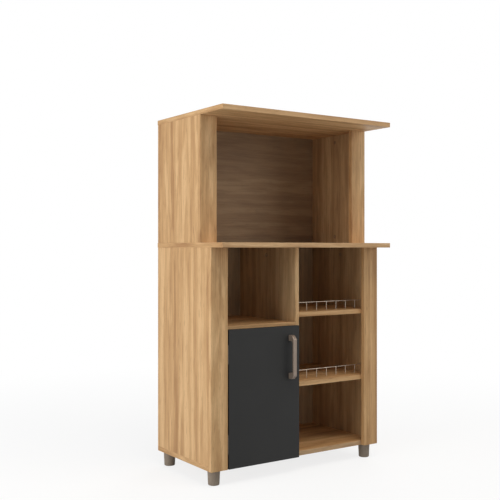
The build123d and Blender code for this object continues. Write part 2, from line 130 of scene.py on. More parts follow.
class Finish:
    def __init__(self, name):
        self.material = bpy.data.materials.new(name)
        self.material.use_nodes = True
        self.tree = self.material.node_tree
        self.shader = self.tree.nodes["Principled BSDF"]

    def node(self, kind, settings, values, output=0):
        node = self.tree.nodes.new("ShaderNode" + kind)
        for name, value in settings.items():
            setattr(node, name, value)
        for name, value in values.items():
            self.plug(value, node.inputs[name])
        return Wire(self.tree, node.outputs[output])

    def plug(self, value, slot):
        if isinstance(value, Wire):
            self.tree.links.new(value.socket, slot)
        else:
            slot.default_value = value

    def object(self):
        return self.node("TexCoord", {}, {}, "Object")

    def normal(self):
        return self.node("TexCoord", {}, {}, "Normal")

    def split(self, vector):
        node = self.tree.nodes.new("ShaderNodeSeparateXYZ")
        self.tree.links.new(vector.socket, node.inputs[0])
        return [Wire(self.tree, output) for output in node.outputs]

    def join(self, x, y, z):
        return self.node("CombineXYZ", {}, {"X": x, "Y": y, "Z": z})

    def noise(self, vector, scale, detail=2, roughness=0.5, distortion=0):
        values = {
            "Vector": vector, "Scale": scale, "Detail": detail,
            "Roughness": roughness, "Distortion": distortion,
        }
        return self.node("TexNoise", {}, values)

    def blend(self, factor, first, second):
        # inputs 6 and 7 and output 2 are the ones that this node uses for colours
        values = {0: factor, 6: first, 7: second}
        return self.node("Mix", {"data_type": "RGBA"}, values, 2)

    def surface(self, **values):
        for name, value in values.items():
            self.plug(value, self.shader.inputs[name.replace("_", " ")])

    def fromEdge(self, place, low, high):
        # distance in metres to the nearest edge of a board that fills the box from low to high
        a, b, c = [
            (value - start).least(end - value)
            for value, start, end in zip(self.split(place), low, high)
        ]
        return a.least(b).most(a.most(b).least(c))

    def bump(self, height, distance, strength=1.0):
        values = {"Height": height, "Distance": distance, "Strength": strength}
        self.plug(self.node("Bump", {}, values), self.shader.inputs["Normal"])


# Materials

oakPrint = {
    "light": srgb(225, 183, 133),
    "middle": srgb(202, 158, 109),
    "dark": srgb(177, 132, 87),
    "vein": srgb(153, 109, 68),
    "pore": srgb(122, 86, 54),
    "sway": 0.006,          # metres that the grain wanders sideways
    "ringPitch": 0.042,     # metres from one growth line to the next
    "ringBend": 7,          # radians that the lenses push the growth lines about
    "poreEdge": (0.62, 0.7),
    "poreShare": 0.42,
    "roughness": 0.48,
    "fibreRoughness": 0.1,    # what a pattern adds to the roughness
    "poreRoughness": 0.12,
    "specular": 0.28,
    "relief": 0.12 * mm,
    "fibreRelief": 0.4,
    "poreRelief": 0.8,
}
oakCells = {
    # noise cells per metre across, along and through the board, then detail, roughness, distortion
    "waver": ((7, 2.2, 6), 2, 0.5, 0.0),
    "streaks": ((21, 0.55, 8), 3, 0.6, 0.0),
    "lenses": ((44, 5.6, 16), 3, 0.55, 0.1),
    "fibres": ((180, 5.5, 40), 4, 0.6, 0.2),
    "pores": ((900, 26, 60), 2, 0.5, 0.0),
    "flecks": ((130, 15, 50), 2, 0.5, 0.0),
}
oakTone = {
    "streaks": 0.52, "lenses": 0.42, "rings": 0.06,    # shares in the broad figure
    "darkToMiddle": (0.37, 0.5),
    "middleToLight": (0.49, 0.6),
}
oakInks = (
    # pattern, where it begins to show, where it shows in full, its share, its colour
    ("fibres", (0.48, 0.72, 0.32), "vein"),
    ("fibres", (0.5, 0.3, 0.25), "light"),
    ("flecks", (0.63, 0.74, 0.4), "vein"),
)
edgeBand = {
    "seam": (0.6 * mm, 0.75 * mm, 0.9 * mm, 1.05 * mm),    # fine line where the band meets the face
    "seamShare": 0.35,
    "rubAndHighlight": (0.15 * mm, 0.9 * mm),    # how far from the arris the print is lightened: partly rubbed print, partly a painted edge highlight
    "rubAndHighlightFigure": (0.4, 0.62),    # it is lightened on the pale streaks only
    "rubAndHighlightShare": 0.3,
}
paintedShade = {
    # painted shade: print greyed and darkened on the back panels and on the faces inside the
    # openings, where the interiors lie in shade; the colour that greys it, its share, and the faces
    # that have it
    "lower_back_panel": (srgb(140, 148, 134), 0.37, "all"),
    "upper_back_panel": (srgb(102, 100, 92), 0.54, "all"),
    "lower_left_side": (srgb(136, 152, 136), 0.16, "right"),
    "upper_left_side": (srgb(124, 138, 124), 0.18, "right"),
    "lower_right_side": (srgb(136, 152, 136), 0.16, "left"),
    "upper_right_side": (srgb(124, 138, 124), 0.18, "left"),
    "divider": (srgb(144, 158, 140), 0.19, "both"),
    # painted light: a cooler tone on the front faces of the level boards, for how these faces are
    # lit
    "bottom_board": (srgb(150, 170, 172), 0.14, "front"),
    "counter_board": (srgb(140, 150, 158), 0.06, "front"),
    "top_board": (srgb(140, 150, 158), 0.05, "front"),
}
backPanel = {
    # bare brown hardboard on the outside
    "board": srgb(148, 108, 72),
    "fibre": srgb(118, 84, 55),
    "chips": 420, "clouds": 14,         # noise cells per metre
    "chipShare": (0.42, 0.66, 0.55),    # where it begins to show, where in full, its share
    "cloudShare": (0.35, 0.7, 0.3),
    "roughness": 0.25,                  # more than the print's
}
facing = (0.6, 0.8)    # how squarely a face must look along an axis to count as facing that way


def oakLaminate(node, grain, shift, reach, backing):
    # Printed oak foil on board: broad soft streaks, growth lines, fine fibres and short pores
    finish = Finish("oak_" + node)
    x, y, z = finish.split(finish.object())
    x = x + shift[0]
    y = y + shift[1]
    z = z + shift[2]
    nx, ny = finish.split(finish.normal())[:2]
    if grain == "upright":
        along = z
        across = x + y
        other = x - y
    else:
        # the edge band on the ends of a level board carries its grain along the band
        end = abs(nx).step(*facing)
        along = x + (y - x) * end
        across = y + (z - y) * end + z * (1 - end)
        other = z + (x - z) * end

    def layer(name, stretch=1.0):
        # takes across as it stands at the call, so all but the first layer follow the waver
        cells, detail, roughness, distortion = oakCells[name]
        place = finish.join(across * cells[0], along * (cells[1] / stretch), other * cells[2])
        return finish.noise(place, 1.0, detail, roughness, distortion)

    across = across + (layer("waver") - 0.5) * oakPrint["sway"]
    streaks = layer("streaks", reach)
    lenses = layer("lenses", reach)
    fibres = layer("fibres")
    pores = layer("pores").step(*oakPrint["poreEdge"])
    flecks = layer("flecks")
    phase = across * (2 * math.pi / oakPrint["ringPitch"]) + lenses * oakPrint["ringBend"]
    rings = phase.sine() * 0.5 + 0.5

    tone = streaks * oakTone["streaks"] + lenses * oakTone["lenses"] + rings * oakTone["rings"]
    middle = tone.step(*oakTone["darkToMiddle"])
    colour = finish.blend(middle, oakPrint["dark"], oakPrint["middle"])
    colour = finish.blend(tone.step(*oakTone["middleToLight"]), colour, oakPrint["light"])
    patterns = {"fibres": fibres, "flecks": flecks}
    for name, strength, ink in oakInks:
        colour = finish.blend(patterns[name].rise(*strength), colour, oakPrint[ink])
    colour = finish.blend(pores * oakPrint["poreShare"], colour, oakPrint["pore"])

    edge = finish.fromEdge(finish.object(), *corners(node))
    outer, crest, fall, inner = edgeBand["seam"]
    seam = edge.step(outer, crest) - edge.step(fall, inner)
    # print lightened at the arris on the pale streaks: partly rubbed print, partly a painted
    # highlight along the edge
    lightened = (1 - edge.step(*edgeBand["rubAndHighlight"])) * streaks.step(*edgeBand["rubAndHighlightFigure"])
    colour = finish.blend(seam * edgeBand["seamShare"], colour, oakPrint["pore"])
    colour = finish.blend(lightened * edgeBand["rubAndHighlightShare"], colour, oakPrint["light"])
    rough = oakPrint["roughness"] + fibres * oakPrint["fibreRoughness"]
    rough = rough + pores * oakPrint["poreRoughness"]
    # painted shade: greys the print inside the openings and on the back panels, and paints a cooler
    # tone on the front faces of the level boards
    if node in paintedShade:
        shade, share, faces = paintedShade[node]
        if faces == "both":
            share = abs(nx).step(*facing) * share
        elif faces != "all":
            normal, way = {"left": (nx, -1), "right": (nx, 1), "front": (ny, -1)}[faces]
            share = (normal * way).step(*facing) * share
        colour = finish.blend(share, colour, shade)
    if backing:
        outside = ny.step(*facing)
        chips = finish.noise(finish.object(), backPanel["chips"], detail=3, roughness=0.65)
        clouds = finish.noise(finish.object(), backPanel["clouds"], detail=3, roughness=0.55)
        fleck = chips.rise(*backPanel["chipShare"]) + clouds.rise(*backPanel["cloudShare"])
        bare = finish.blend(fleck, backPanel["board"], backPanel["fibre"])
        colour = finish.blend(outside, colour, bare)
        rough = rough + outside * backPanel["roughness"]
    finish.surface(Base_Color=colour, Roughness=rough, Specular_IOR_Level=oakPrint["specular"])
    height = fibres * oakPrint["fibreRelief"] - pores * oakPrint["poreRelief"]
    finish.bump(height, oakPrint["relief"], strength=0.5)
    return finish.material


# In the finishes below, cells are noise cells per metre, a share says where a pattern begins to
# show, where it shows in full and how strongly, and relief is its height in metres

doorFoil = {
    "base": srgb(23, 23, 23), "lift": srgb(30, 30, 30),
    "cloudCells": 9, "pearlCells": 1500,
    "cloudShare": (0.35, 0.7, 0.4), "pearlShare": (0.35, 0.65, 0.5),
    "roughness": 0.62, "pearlRoughness": 0.12, "specular": 0.4, "relief": 0.12 * mm,
}


def doorLaminate(name):
    # Anthracite melamine face: fine pearl texture and a barely visible cloudiness
    finish = Finish(name)
    place = finish.object()
    cloud = finish.noise(place, doorFoil["cloudCells"], detail=3)
    pearl = finish.noise(place, doorFoil["pearlCells"], roughness=0.6)
    mottle = cloud.rise(*doorFoil["cloudShare"]) + pearl.rise(*doorFoil["pearlShare"])
    colour = finish.blend(mottle, doorFoil["base"], doorFoil["lift"])
    rough = doorFoil["roughness"] + pearl * doorFoil["pearlRoughness"]
    finish.surface(Base_Color=colour, Roughness=rough, Specular_IOR_Level=doorFoil["specular"])
    finish.bump(pearl, doorFoil["relief"], strength=0.7)
    return finish.material


handlePaint = {
    "base": srgb(140, 123, 110), "lightened": srgb(160, 144, 131),
    "grainCells": 900, "wornCells": 28, "wornPlaces": (0.5, 0.75), "wornShare": 0.4,
    "roughness": 0.36, "grainRoughness": 0.1, "wornRoughness": 0.06,
    "metallic": 0.4, "coat": 0.15, "relief": 0.03 * mm,
}


def handleLacquer(name):
    # Satin lacquer on zinc, rubbed a little lighter where fingers reach
    finish = Finish(name)
    paint = handlePaint
    place = finish.object()
    grain = finish.noise(place, paint["grainCells"], roughness=0.6)
    lightened = finish.noise(place, paint["wornCells"], detail=3, roughness=0.6)
    lightened = lightened.step(*paint["wornPlaces"])
    colour = finish.blend(lightened * paint["wornShare"], paint["base"], paint["lightened"])
    rough = paint["roughness"] + grain * paint["grainRoughness"] + lightened * paint["wornRoughness"]
    finish.surface(
        Base_Color=colour, Roughness=rough, Metallic=paint["metallic"], Coat_Weight=paint["coat"]
    )
    finish.bump(grain, paint["relief"], strength=0.5)
    return finish.material


moulding = {
    "flowCells": 55, "grainCells": 1400, "flowShare": (0.35, 0.7, 0.6),
    "grainRoughness": 0.14, "specular": 0.45, "relief": 0.06 * mm,
}


def mouldedPlastic(name, base, lift, roughness):
    # Spark-eroded moulding: even colour, fine grain, faint flow marks
    finish = Finish(name)
    place = finish.object()
    flow = finish.noise(place, moulding["flowCells"], detail=3)
    grain = finish.noise(place, moulding["grainCells"])
    colour = finish.blend(flow.rise(*moulding["flowShare"]), base, lift)
    rough = roughness + grain * moulding["grainRoughness"]
    finish.surface(Base_Color=colour, Roughness=rough, Specular_IOR_Level=moulding["specular"])
    finish.bump(grain, moulding["relief"], strength=0.5)
    return finish.material


plating = {
    "cloudCells": 120, "drawnShare": (0.35, 0.7, 0.5), "cloudShare": (0.5, 0.8, 0.4),
    "drawnRoughness": 0.12, "relief": 0.02 * mm,
}


def metal(name, base, lift, roughness, across, along, speck=0.0, metallic=1.0):
    # Plated or bare metal. Across and along are noise cells per metre: unequal ones draw fine
    # upright lines, equal ones leave an even spangle. Speck roughens it in patches.
    finish = Finish(name)
    x, y, z = finish.split(finish.object())
    place = finish.join(x * across, y * across, z * along)
    drawn = finish.noise(place, 1, detail=3, roughness=0.6)
    cloud = finish.noise(finish.object(), plating["cloudCells"])
    share = drawn.rise(*plating["drawnShare"]) + cloud.rise(*plating["cloudShare"])
    colour = finish.blend(share, base, lift)
    rough = roughness + drawn * plating["drawnRoughness"] + cloud * speck
    finish.surface(Base_Color=colour, Roughness=rough, Metallic=metallic)
    finish.bump(drawn, plating["relief"], strength=0.4)
    return finish.material


beech = {
    "dark": srgb(196, 160, 116), "light": srgb(222, 190, 148),
    "cells": 300, "figure": (0.35, 0.7), "roughness": 0.6,
}


def wood(name):
    # Turned beech of the dowels
    finish = Finish(name)
    grain = finish.noise(finish.object(), beech["cells"], detail=3, roughness=0.6)
    colour = finish.blend(grain.step(*beech["figure"]), beech["dark"], beech["light"])
    finish.surface(Base_Color=colour, Roughness=beech["roughness"])
    return finish.material


def seenRays(tree):
    # 1 for rays that come from the camera, off gloss or through glass, 0 for those that shed light
    rays = tree.nodes.new("ShaderNodeLightPath")
    names = ("Is Camera Ray", "Is Glossy Ray", "Is Transmission Ray")
    direct, glossy, passing = [Wire(tree, rays.outputs[name]) for name in names]
    return direct + glossy + passing


def floorPaper(name):
    # White to the camera and to gloss, pale to everything else, and it keeps the shadow
    finish = Finish(name)
    tree = finish.tree
    glow = finish.node("Emission", {}, {"Color": white, "Strength": 1.0})
    seen = seenRays(tree)
    colour = finish.blend(seen, studio["floorColour"], white)
    finish.surface(Base_Color=colour, Roughness=0.9, Specular_IOR_Level=0.1)
    x, y = finish.split(finish.object())[:2]
    distance = (x * x + y * y) ** 0.5
    far = distance.step(*studio["fade"])
    share = seen * (far * (1 - studio["floorGlow"]) + studio["floorGlow"])
    mixed = tree.nodes.new("ShaderNodeMixShader")
    finish.plug(share, mixed.inputs[0])
    tree.links.new(finish.shader.outputs[0], mixed.inputs[1])
    tree.links.new(glow.socket, mixed.inputs[2])
    tree.links.new(mixed.outputs[0], tree.nodes["Material Output"].inputs["Surface"])
    return finish.material


def dress(node, material):
    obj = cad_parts[node]
    obj.data.materials.clear()
    obj.data.materials.append(material)


oakBoards = {
    # grain, shift of the print in metres, how far its figure is drawn out, bare outside or not
    "lower_left_side": ("upright", (0.31, 0.02, 0.40), 1.4, False),
    "lower_right_side": ("upright", (1.73, 0.55, 2.10), 1.0, False),
    "upper_left_side": ("upright", (2.47, 0.90, 4.30), 1.0, False),
    "upper_right_side": ("upright", (3.91, 0.21, 1.30), 1.0, False),
    "lower_left_stile": ("upright", (2.85, 0.66, 5.10), 0.7, False),
    "lower_right_stile": ("upright", (6.29, 0.74, 0.90), 1.6, False),
    "upper_left_stile": ("upright", (7.61, 0.11, 2.80), 0.7, False),
    "upper_right_stile": ("upright", (8.37, 0.63, 5.20), 1.0, False),
    "divider": ("upright", (9.83, 0.48, 1.90), 1.0, False),
    "lower_back_panel": ("upright", (10.41, 0.29, 3.30), 1.0, True),
    "upper_back_panel": ("level", (11.57, 0.81, 0.50), 1.0, True),
    "bottom_board": ("level", (0.63, 1.30, 0.17), 1.0, False),
    "counter_board": ("level", (1.91, 2.70, 0.71), 1.0, False),
    "top_board": ("level", (3.17, 4.10, 0.33), 1.0, False),
    "left_shelf": ("level", (4.59, 5.30, 0.93), 1.0, False),
    "right_shelf_lower": ("level", (5.83, 6.90, 0.41), 1.0, False),
    "right_shelf_upper": ("level", (7.07, 8.20, 0.87), 1.0, False),
}


fittings = {
    "foot": ("foot_front_left", "foot_front_right", "foot_rear_left", "foot_rear_right"),
    "hinge": (
        "hinge_lower_stile_leaf", "hinge_lower_door_leaf", "hinge_lower_pin",
        "hinge_upper_stile_leaf", "hinge_upper_door_leaf", "hinge_upper_pin",
    ),
    "zinc": ("cam_bolts", "catch_strike_plate"),
    "block": ("corner_blocks", "catch_body"),
    "magnet": ("catch_magnet",),
}


def dressFrame():
    for node, (grain, shift, reach, backing) in oakBoards.items():
        dress(node, oakLaminate(node, grain, shift, reach, backing))
    dress("door_panel", doorLaminate("anthraciteLaminate"))
    dress("dowels", wood("beech"))
    for finish, nodes in fittings.items():
        for node in nodes:
            dress(node, finishes[finish])


# Modelling helpers

def startPiece(name):
    bpy.ops.object.select_all(action="DESELECT")
    piece = bpy.context.active_object
    piece.name = name
    piece.data.name = name
    piece.select_set(True)
    return piece


def deselectAll():
    if bpy.context.mode != "OBJECT":
        bpy.ops.object.mode_set(mode="OBJECT")
    bpy.ops.object.select_all(action="DESELECT")


def addBox(name, centre, size):
    deselectAll()
    bpy.ops.mesh.primitive_cube_add(size=1, location=centre, scale=size)
    return applied(startPiece(name))


def addRound(name, start, direction, radius, length, sides):
    # bar of round section that begins at start
    deselectAll()
    turn = zAxis.rotation_difference(direction).to_euler()
    middle = start + direction * (length / 2)
    bpy.ops.mesh.primitive_cylinder_add(
        vertices=sides, radius=radius, depth=length, location=middle, rotation=turn
    )
    return applied(startPiece(name))


def applied(piece):
    bpy.ops.object.transform_apply(location=True, rotation=True, scale=True)
    return piece


def choose(piece, kind, test):
    # in edit mode, selects the faces or edges that pass the test
    bpy.ops.mesh.select_all(action="DESELECT")
    bpy.ops.mesh.select_mode(type=kind)
    mesh = bmesh.from_edit_mesh(piece.data)
    for item in (mesh.faces if kind == "FACE" else mesh.edges):
        item.select = test(item)
    mesh.select_flush_mode()
    bmesh.update_edit_mesh(piece.data)


def edgeMiddle(edge):
    return (edge.verts[0].co + edge.verts[1].co) / 2


def finishModifiers(piece):
    deselectAll()
    piece.select_set(True)
    bpy.context.view_layer.objects.active = piece
    for modifier in list(piece.modifiers):
        bpy.ops.object.modifier_apply(modifier=modifier.name)


def roundEdges(piece, width, segments):
    bevel = piece.modifiers.new("roundEdges", "BEVEL")
    bevel.width = width
    bevel.segments = segments
    bevel.limit_method = "ANGLE"
    bevel.angle_limit = math.radians(40)
    finishModifiers(piece)
    smooth(piece, angle=35)


def smooth(piece, angle):
    deselectAll()
    piece.select_set(True)
    bpy.context.view_layer.objects.active = piece
    bpy.ops.object.shade_smooth_by_angle(angle=math.radians(angle))


def evenNormals(piece):
    # keeps the large faces flat where they run into small rounded ones
    weighted = piece.modifiers.new("evenNormals", "WEIGHTED_NORMAL")
    weighted.keep_sharp = True
    finishModifiers(piece)


def carve(piece, cutter):
    boolean = piece.modifiers.new("carve", "BOOLEAN")
    boolean.operation = "DIFFERENCE"
    boolean.object = cutter
    boolean.solver = "EXACT"
    finishModifiers(piece)
    bpy.data.objects.remove(cutter, do_unlink=True)


def joined(name, pieces):
    deselectAll()
    for piece in pieces:
        piece.select_set(True)
    bpy.context.view_layer.objects.active = pieces[0]
    bpy.ops.object.join()
    return renamed(pieces[0], name)


def spread(master, name, places):
    # copies of a piece modelled upright at the origin, each turned to its own outward direction
    copies = []
    for point, outward in places:
        copy = master.copy()
        copy.data = master.data.copy()
        bpy.context.collection.objects.link(copy)
        turn = zAxis.rotation_difference(Vector(outward)).to_matrix().to_4x4()
        copy.data.transform(Matrix.Translation(point) @ turn)
        copies.append(copy)
    return joined(name, copies) if len(copies) > 1 else renamed(copies[0], name)


def renamed(piece, name):
    piece.name = name
    piece.data.name = name
    return piece


def drop(piece):
    bpy.data.objects.remove(piece, do_unlink=True)


def complete(piece, material, body, node):
    piece.data.materials.clear()
    piece.data.materials.append(material)
    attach(piece, body)
    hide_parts(node)


# Door handle

handleShape = {
    "foot": 20 * mm, "bar": 8 * mm, "shoulder": 12 * mm, "ease": 3.5 * mm, "inner": 8 * mm,
    "edge": 1.8 * mm,
    "shoulderAngle": (0.7, 0.9),    # radians between which the 45 degree shoulders' edges lie
}
near = mm / 10      # places closer than this are the same corner
flush = mm / 100    # a point closer than this to a plane lies in it


def makeHandle():
    low, high = corners("door_handle")
    size = high - low
    bar = handleShape["bar"]
    centre = Vector(((low.x + high.x) / 2, low.y + bar / 2, (low.z + high.z) / 2))
    top = high.z - handleShape["foot"]
    bottom = low.z + handleShape["foot"]
    handle = addBox("bowHandle", centre, (size.x, bar, size.z))
    bpy.ops.object.mode_set(mode="EDIT")
    for height in (bottom, top):
        bpy.ops.mesh.select_all(action="SELECT")
        bpy.ops.mesh.bisect(plane_co=(centre.x, centre.y, height), plane_no=(0, 0, 1))

    def rearEnd(face):
        middle = face.calc_center_median()
        return face.normal.y > 0.9 and not bottom < middle.z < top

    choose(handle, "FACE", rearEnd)
    bpy.ops.mesh.extrude_region_move(TRANSFORM_OT_translate={"value": (0, size.y - bar, 0)})
    bpy.ops.mesh.select_all(action="SELECT")
    bpy.ops.mesh.dissolve_limited(angle_limit=math.radians(1))    # each side becomes one face

    def acrossHandle(edge):
        return abs(edge.verts[0].co.x - edge.verts[1].co.x) > size.x / 2

    def outerCorner(edge):
        middle = edgeMiddle(edge)
        flat = abs(edge.verts[0].co.z - edge.verts[1].co.z) < near
        atEnd = min(abs(middle.z - low.z), abs(middle.z - high.z)) < near
        return flat and atEnd and abs(middle.y - low.y) < near

    choose(handle, "EDGE", outerCorner)
    bpy.ops.mesh.bevel(offset=handleShape["shoulder"], segments=1)

    def innerCorner(edge):
        middle = edgeMiddle(edge)
        atFoot = min(abs(middle.z - top), abs(middle.z - bottom)) < near
        return acrossHandle(edge) and atFoot and abs(middle.y - low.y - bar) < near

    choose(handle, "EDGE", innerCorner)
    bpy.ops.mesh.bevel(offset=handleShape["inner"], segments=8)

    def shoulderEdge(edge):
        least, most = handleShape["shoulderAngle"]
        return acrossHandle(edge) and least < edge.calc_face_angle() < most

    choose(handle, "EDGE", shoulderEdge)
    bpy.ops.mesh.bevel(offset=handleShape["ease"], segments=4)

    def sideEdge(edge):
        # the outline of both sides, but not where the feet meet the door
        onSide = all(abs(abs(vert.co.x - centre.x) - size.x / 2) < flush for vert in edge.verts)
        onDoor = all(vert.co.y > high.y - flush for vert in edge.verts)
        return onSide and not onDoor and len(edge.link_faces) == 2 and edge.calc_face_angle() > 1

    choose(handle, "EDGE", sideEdge)
    bpy.ops.mesh.bevel(offset=handleShape["edge"], segments=4)
    bpy.ops.object.mode_set(mode="OBJECT")
    smooth(handle, angle=30)
    evenNormals(handle)
    complete(handle, finishes["handle"], "door", "door_handle")


# Screws

headDome = 0.6        # share of a head's height that is rounded
recessTaper = 0.45    # size of a recess at its floor, against its mouth
screwHeads = {
    # radius, height, recess arm, recess width, recess depth
    "pan": (4.0 * mm, 2.5 * mm, 2.2 * mm, 0.8 * mm, 1.4 * mm),
    "hinge": (3.0 * mm, 1.8 * mm, 1.7 * mm, 0.65 * mm, 1.0 * mm),
    "block": (3.0 * mm, 1.6 * mm, 1.7 * mm, 0.65 * mm, 0.9 * mm),
    "catch": (2.8 * mm, 1.6 * mm, 1.6 * mm, 0.6 * mm, 0.9 * mm),
    "foot": (4.5 * mm, 2.5 * mm, 2.4 * mm, 0.9 * mm, 1.4 * mm),
}


def crossRecess(top, arm, width, depth):
    # two tapering bars that cross, the shape that a driver leaves
    bars = []
    middle = top - depth / 2 + mm / 10    # each bar reaches from the floor to 0.2 mm above the head
    for length, breadth in ((arm, width / 2), (width / 2, arm)):
        bar = addBox("recess", (0, 0, middle), (2 * length, 2 * breadth, depth + mm / 5))
        bpy.ops.object.mode_set(mode="EDIT")
        choose(bar, "FACE", lambda face: face.normal.z < -0.9)
        bpy.ops.transform.resize(value=(recessTaper, recessTaper, 1), center_override=(0, 0, 0))
        bpy.ops.object.mode_set(mode="OBJECT")
        bars.append(bar)
    return bars


def screwMaster(kind):
    radius, height, arm, width, depth = screwHeads[kind]
    head = addRound("screw_" + kind, Vector((0, 0, 0)), zAxis, radius, height, sides=20)
    bpy.ops.object.mode_set(mode="EDIT")
    choose(head, "FACE", lambda face: face.normal.z > 0.9)
    bpy.ops.mesh.bevel(offset=height * headDome, segments=4, affect="EDGES")
    bpy.ops.object.mode_set(mode="OBJECT")
    for bar in crossRecess(height, arm, width, depth):
        carve(head, bar)
    smooth(head, angle=30)
    return head


def groupBoxes(node):
    # low and high corner of each separate solid of a CAD node
    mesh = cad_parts[node].data
    work = bmesh.new()
    work.from_mesh(mesh)
    bmesh.ops.remove_doubles(work, verts=work.verts, dist=mm / 1000)
    seen = set()
    boxes = []
    for vert in work.verts:
        if vert in seen:
            continue
        island = [vert]
        seen.add(vert)
        for member in island:
            for edge in member.link_edges:
                other = edge.other_vert(member)
                if other not in seen:
                    seen.add(other)
                    island.append(other)
        low = Vector([min(v.co[axis] for v in island) for axis in range(3)])
        high = Vector([max(v.co[axis] for v in island) for axis in range(3)])
        boxes.append((low, high))
    work.free()
    return sorted(boxes, key=lambda box: tuple(round(value, 5) for value in box[0]))


def seatOf(box, outward):
    # middle of the box face that looks outward
    low, high = box
    middle = (low + high) / 2
    half = (high - low) / 2
    return Vector([middle[axis] + outward[axis] * half[axis] for axis in range(3)])


def headPlaces(node, outward, height):
    outward = Vector(outward)
    return [(seatOf(box, outward) - outward * height, outward) for box in groupBoxes(node)]


def blockScrewPlaces():
    # a screw that lies along X points at the side, one along Y points at the stile
    height = screwHeads["block"][1]
    places = []
    for box in groupBoxes("corner_block_screws"):
        size = box[1] - box[0]
        middle = (box[0] + box[1]) / 2
        outward = yAxis if size.y > size.x else (xAxis if middle.x < 0 else -xAxis)
        places.append((seatOf(box, outward) - outward * height, outward))
    return places


screwSets = {
    # CAD node: head, piece, body, which way the heads look
    "handle_screws": ("pan", "handleScrewHeads", "door", rearward),
    "hinge_door_screws": ("hinge", "doorHingeScrewHeads", "door", rearward),
    "hinge_stile_screws": ("hinge", "stileHingeScrewHeads", "carcass", rearward),
    "corner_block_screws": ("block", "blockScrewHeads", "carcass", None),    # two ways
    "catch_screws": ("catch", "catchScrewHeads", "carcass", downward),
    "foot_screws": ("foot", "footScrewHeads", "carcass", downward),
}


def makeScrews():
    masters = {kind: screwMaster(kind) for kind in screwHeads}
    for node, (kind, name, body, outward) in screwSets.items():
        height = screwHeads[kind][1]
        places = headPlaces(node, outward, height) if outward else blockScrewPlaces()
        piece = spread(masters[kind], name, places)
        complete(piece, finishes["zinc"], body, node)
    for master in masters.values():
        drop(master)


flushHeads = {
    "sink": 0.05 * mm,
    "jointRadius": 5 * mm, "jointHeight": 4 * mm, "jointEase": 0.25 * mm,
    "socketRadius": 2.3 * mm, "socketDepth": 2.6 * mm, "socketCut": 3 * mm,
    "strikeRadius": 2.6 * mm, "strikeHeight": 0.7 * mm, "strikeEase": 0.12 * mm,
    "strikeRecess": (1.5 * mm, 0.6 * mm, 0.5 * mm),    # arm, width, depth
}


def flushHead(name, radius, height):
    return addRound(name, Vector((0, 0, -height)), zAxis, radius, height, sides=24)


def makeFlushScrews():
    # countersunk heads, with a hexagon socket on the joint screws and a cross on the strike plate's
    shape = flushHeads
    joint = flushHead("jointScrew", shape["jointRadius"], shape["jointHeight"])
    floor = Vector((0, 0, -shape["socketDepth"]))
    socket = addRound("socket", floor, zAxis, shape["socketRadius"], shape["socketCut"], sides=6)
    carve(joint, socket)
    roundEdges(joint, shape["jointEase"], segments=2)
    places = headPlaces("joint_screws", downward, -shape["sink"])
    piece = spread(joint, "jointScrewHeads", places)
    complete(piece, finishes["zinc"], "carcass", "joint_screws")
    drop(joint)
    strike = flushHead("strikeScrew", shape["strikeRadius"], shape["strikeHeight"])
    for bar in crossRecess(0, *shape["strikeRecess"]):
        carve(strike, bar)
    roundEdges(strike, shape["strikeEase"], segments=2)
    places = headPlaces("strike_screws", rearward, -shape["sink"])
    piece = spread(strike, "strikeScrewHeads", places)
    complete(piece, finishes["zinc"], "door", "strike_screws")
    drop(strike)


# Back panel pins

pinHead = {"radius": 2.0 * mm, "height": 0.6 * mm, "sunk": 0.3 * mm, "dome": 0.7}


def makeBackPins():
    # domed heads that stand just proud of the panel
    foot = Vector((0, 0, -pinHead["sunk"]))
    length = pinHead["sunk"] + pinHead["height"]
    pin = addRound("panelPin", foot, zAxis, pinHead["radius"], length, sides=14)
    bpy.ops.object.mode_set(mode="EDIT")
    choose(pin, "FACE", lambda face: face.normal.z > 0.9)
    bpy.ops.mesh.bevel(offset=pinHead["height"] * pinHead["dome"], segments=2, affect="EDGES")
    bpy.ops.object.mode_set(mode="OBJECT")
    smooth(pin, angle=50)
    piece = spread(pin, "panelPinHeads", headPlaces("back_panel_pins", rearward, 0))
    complete(piece, finishes["zinc"], "carcass", "back_panel_pins")
    drop(pin)


# Cam locks

camShape = {
    "radius": 7.4 * mm, "depth": 12.4 * mm, "rim": 0.9 * mm, "lip": 0.3 * mm, "dish": 0.7 * mm,
    "recess": (3.6 * mm, 1.6 * mm, 2.2 * mm),    # arm, width, depth
    "arrowReach": 5.2 * mm, "arrowDepth": 0.4 * mm, "arrowRadius": 1.1 * mm, "arrowCut": mm,
    "sink": 0.25 * mm,
    "leftGroup": -20 * mm,    # cams left of this are in the left sides and look right
}


def camMaster():
    # die-cast cam: a rim, a dished face, a cross recess and an arrow that shows the bolt's side
    depth = camShape["depth"]
    dish = -camShape["dish"]
    cam = addRound("cam", Vector((0, 0, -depth)), zAxis, camShape["radius"], depth, sides=32)
    bpy.ops.object.mode_set(mode="EDIT")
    choose(cam, "FACE", lambda face: face.normal.z > 0.9)
    bpy.ops.mesh.inset(thickness=camShape["rim"], depth=0)
    bpy.ops.mesh.inset(thickness=camShape["lip"], depth=dish)
    bpy.ops.object.mode_set(mode="OBJECT")
    for bar in crossRecess(dish, *camShape["recess"]):
        carve(cam, bar)
    tip = Vector((camShape["arrowReach"], 0, dish - camShape["arrowDepth"]))
    radius = camShape["arrowRadius"]
    carve(cam, addRound("arrow", tip, zAxis, radius, camShape["arrowCut"], sides=3))
    smooth(cam, angle=30)
    return cam


def camPlaces():
    # the cam's flat face looks out of the panel that carries it
    places = []
    for low, high in groupBoxes("cam_locks"):
        middle = (low + high) / 2
        if high.z - low.z < camShape["depth"] * 1.1:
            outward = Vector(downward)    # its axis is upright: it sits under a level board
        else:
            outward = -xAxis if middle.x > camShape["leftGroup"] else xAxis
        places.append((seatOf((low, high), outward) - outward * camShape["sink"], outward))
    return places


